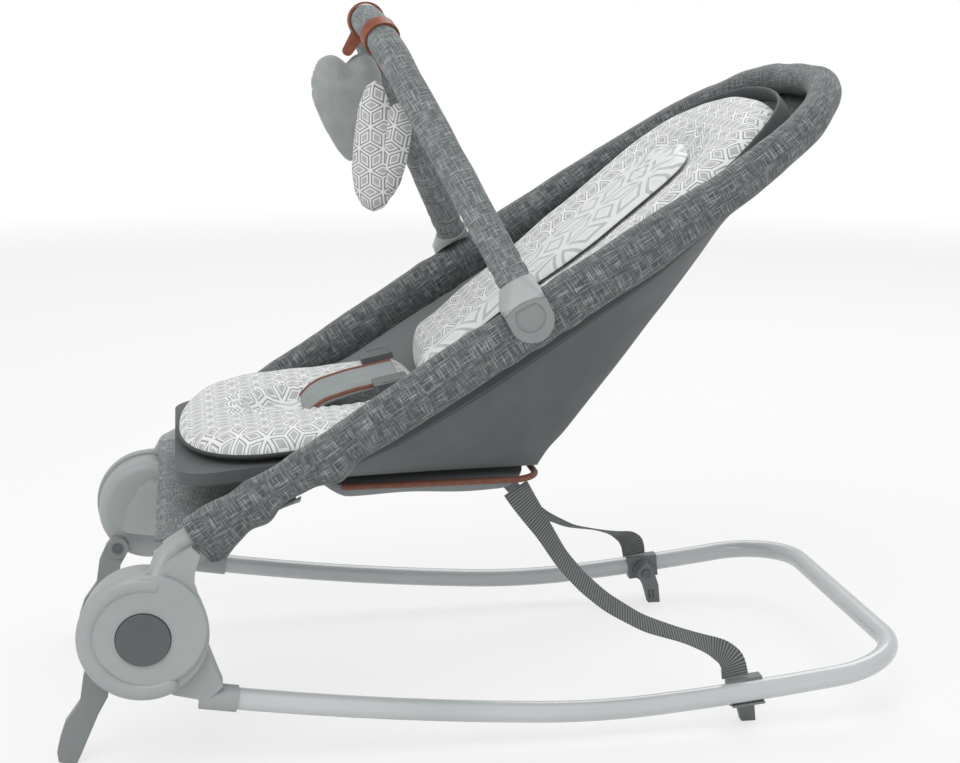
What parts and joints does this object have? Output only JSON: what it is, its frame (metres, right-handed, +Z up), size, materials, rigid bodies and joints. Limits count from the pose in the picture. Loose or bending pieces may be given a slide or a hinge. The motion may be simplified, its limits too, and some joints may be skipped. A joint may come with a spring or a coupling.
{
  "type": "bouncer seat",
  "caption": "Baby bouncer: a reclined fabric hammock seat on a folding tube frame with rocker base, flip-out feet, harness and a removable toy bar with hanging toys.",
  "frame": {"origin": "middle of the object's footprint, on the floor that its feet stand on", "axes": "+Z up, +X towards the head end, +Y towards the sitter's right side; the seat faces -X and the hub and foot axes are parallel to Y"},
  "size_m": [0.777, 0.437, 0.6443],
  "materials": {
    "grey_paint": "satin powder coat",
    "hub_plastic": "moulded grey plastic, fine texture",
    "button_plastic": "dark grey moulded plastic",
    "foot_plastic": "mid-grey moulded plastic",
    "bracket_plastic": "grey moulded plastic",
    "gear_plastic": "dark nylon",
    "plain_steel": "zinc plated",
    "spring_steel": "bright spring wire",
    "melange": "woven grey melange",
    "apron_melange": "finer woven grey melange",
    "slate_fabric": "smooth slate fabric",
    "pan_fabric": "light slate fabric",
    "piping_brown": "brown leather-look binding",
    "pad_print": "white knit with grey rhombi and charcoal binding",
    "support_print": "white knit with large pale-grey rhombi",
    "crotch_fabric": "light grey fabric with brown piping",
    "webbing": "ribbed webbing",
    "buckle_plastic": "dark grey plastic",
    "toy_velvet": "grey velvet with printed gusset",
    "toy_print": "white print with grey rhombi"
  },
  "bodies": {
    "base": {"rocker_tube": "grey_paint", "hub_base_left": "hub_plastic", "hub_base_right": "hub_plastic", "front_cross_tube": "grey_paint", "hub_axle_left": "plain_steel", "hub_axle_right": "plain_steel", "lock_spring_left": "spring_steel", "lock_spring_right": "spring_steel", "rear_foot_bracket_left": "bracket_plastic", "rear_foot_bracket_right": "bracket_plastic", "foot_rivets": "plain_steel", "base_strap_left": "webbing", "base_strap_right": "webbing"},
    "seat": {"seat_tube": "grey_paint", "seat_sleeve": "melange", "hub_cover_left": "hub_plastic", "hub_cover_right": "hub_plastic", "front_apron": "apron_melange", "seat_shell": "slate_fabric", "bottom_pan": "pan_fabric", "pan_piping": "piping_brown", "seat_board": "slate_fabric", "seat_pad": "pad_print", "back_pad": "pad_print", "body_support": "support_print", "crotch_pad": "crotch_fabric", "waist_straps": "webbing", "buckles": "buckle_plastic", "clip_left": "hub_plastic", "clip_right": "hub_plastic"},
    "fold_button_left": {"hub_button_left": "button_plastic"},
    "fold_button_right": {"hub_button_right": "button_plastic"},
    "lock_gear_left": {"lock_gear_left": "gear_plastic"},
    "lock_gear_right": {"lock_gear_right": "gear_plastic"},
    "front_foot_left": {"front_foot_left": "foot_plastic"},
    "front_foot_right": {"front_foot_right": "foot_plastic"},
    "rear_foot_left": {"rear_foot_left": "bracket_plastic"},
    "rear_foot_right": {"rear_foot_right": "bracket_plastic"},
    "toy_bar": {"toy_bar_tube": "grey_paint", "toy_bar_sleeve": "melange", "toy_bar_end_left": "hub_plastic", "toy_bar_end_right": "hub_plastic", "toy_strap_heart": "piping_brown", "toy_strap_leaf": "piping_brown"},
    "heart": {"toy_heart": "toy_velvet"},
    "leaf": {"toy_leaf": "toy_print"}
  },
  "joints": [
    {"name": "seat_fold", "type": "hinge", "parent": "base", "child": "seat", "pos_m": [-0.31046, 0, 0.128], "axis": [0, 1, 0], "range_deg": [0, 30], "deforming": ["base_strap_left", "base_strap_right"]},
    {"name": "button_press_left", "type": "slide", "parent": "seat", "child": "fold_button_left", "axis": [0, 1, 0], "range_m": [0, 0.004], "stiffness_N_per_m": 800, "springref_m": -0.003},
    {"name": "lock_gear_slide_left", "type": "slide", "parent": "base", "child": "lock_gear_left", "axis": [0, 1, 0], "range_m": [0, 0.004], "deforming": ["lock_spring_left"]},
    {"name": "button_press_right", "type": "slide", "parent": "seat", "child": "fold_button_right", "axis": [0, -1, 0], "range_m": [0, 0.004], "stiffness_N_per_m": 800, "springref_m": -0.003},
    {"name": "lock_gear_slide_right", "type": "slide", "parent": "base", "child": "lock_gear_right", "axis": [0, -1, 0], "range_m": [0, 0.004], "deforming": ["lock_spring_right"]},
    {"name": "front_foot_flip_left", "type": "hinge", "parent": "base", "child": "front_foot_left", "pos_m": [-0.34446, 0, 0.093], "axis": [0, 1, 0], "range_deg": [-105, 0]},
    {"name": "rear_foot_flip_left", "type": "hinge", "parent": "base", "child": "rear_foot_left", "pos_m": [0.22054, 0, 0.03354], "axis": [0, 1, 0], "range_deg": [0, 95]},
    {"name": "front_foot_flip_right", "type": "hinge", "parent": "base", "child": "front_foot_right", "pos_m": [-0.34446, 0, 0.093], "axis": [0, 1, 0], "range_deg": [-105, 0]},
    {"name": "rear_foot_flip_right", "type": "hinge", "parent": "base", "child": "rear_foot_right", "pos_m": [0.22054, 0, 0.03354], "axis": [0, 1, 0], "range_deg": [0, 95]},
    {"name": "toy_bar_lift", "type": "slide", "parent": "seat", "child": "toy_bar", "axis": [-0.4384, 0, 0.8988], "range_m": [0, 0.06]},
    {"name": "heart_swing", "type": "hinge", "parent": "toy_bar", "child": "heart", "pos_m": [-0.11413, 0, 0.60071], "axis": [0, 1, 0], "range_deg": [-30, 30]},
    {"name": "leaf_swing", "type": "hinge", "parent": "toy_bar", "child": "leaf", "pos_m": [-0.0866, -0.055, 0.58733], "axis": [0, 1, 0], "range_deg": [-30, 30]}
  ],
  "couplings": [
    {"joint": "lock_gear_slide_left", "follows": "button_press_left", "ratio": 1},
    {"joint": "lock_gear_slide_right", "follows": "button_press_right", "ratio": 1}
  ]
}
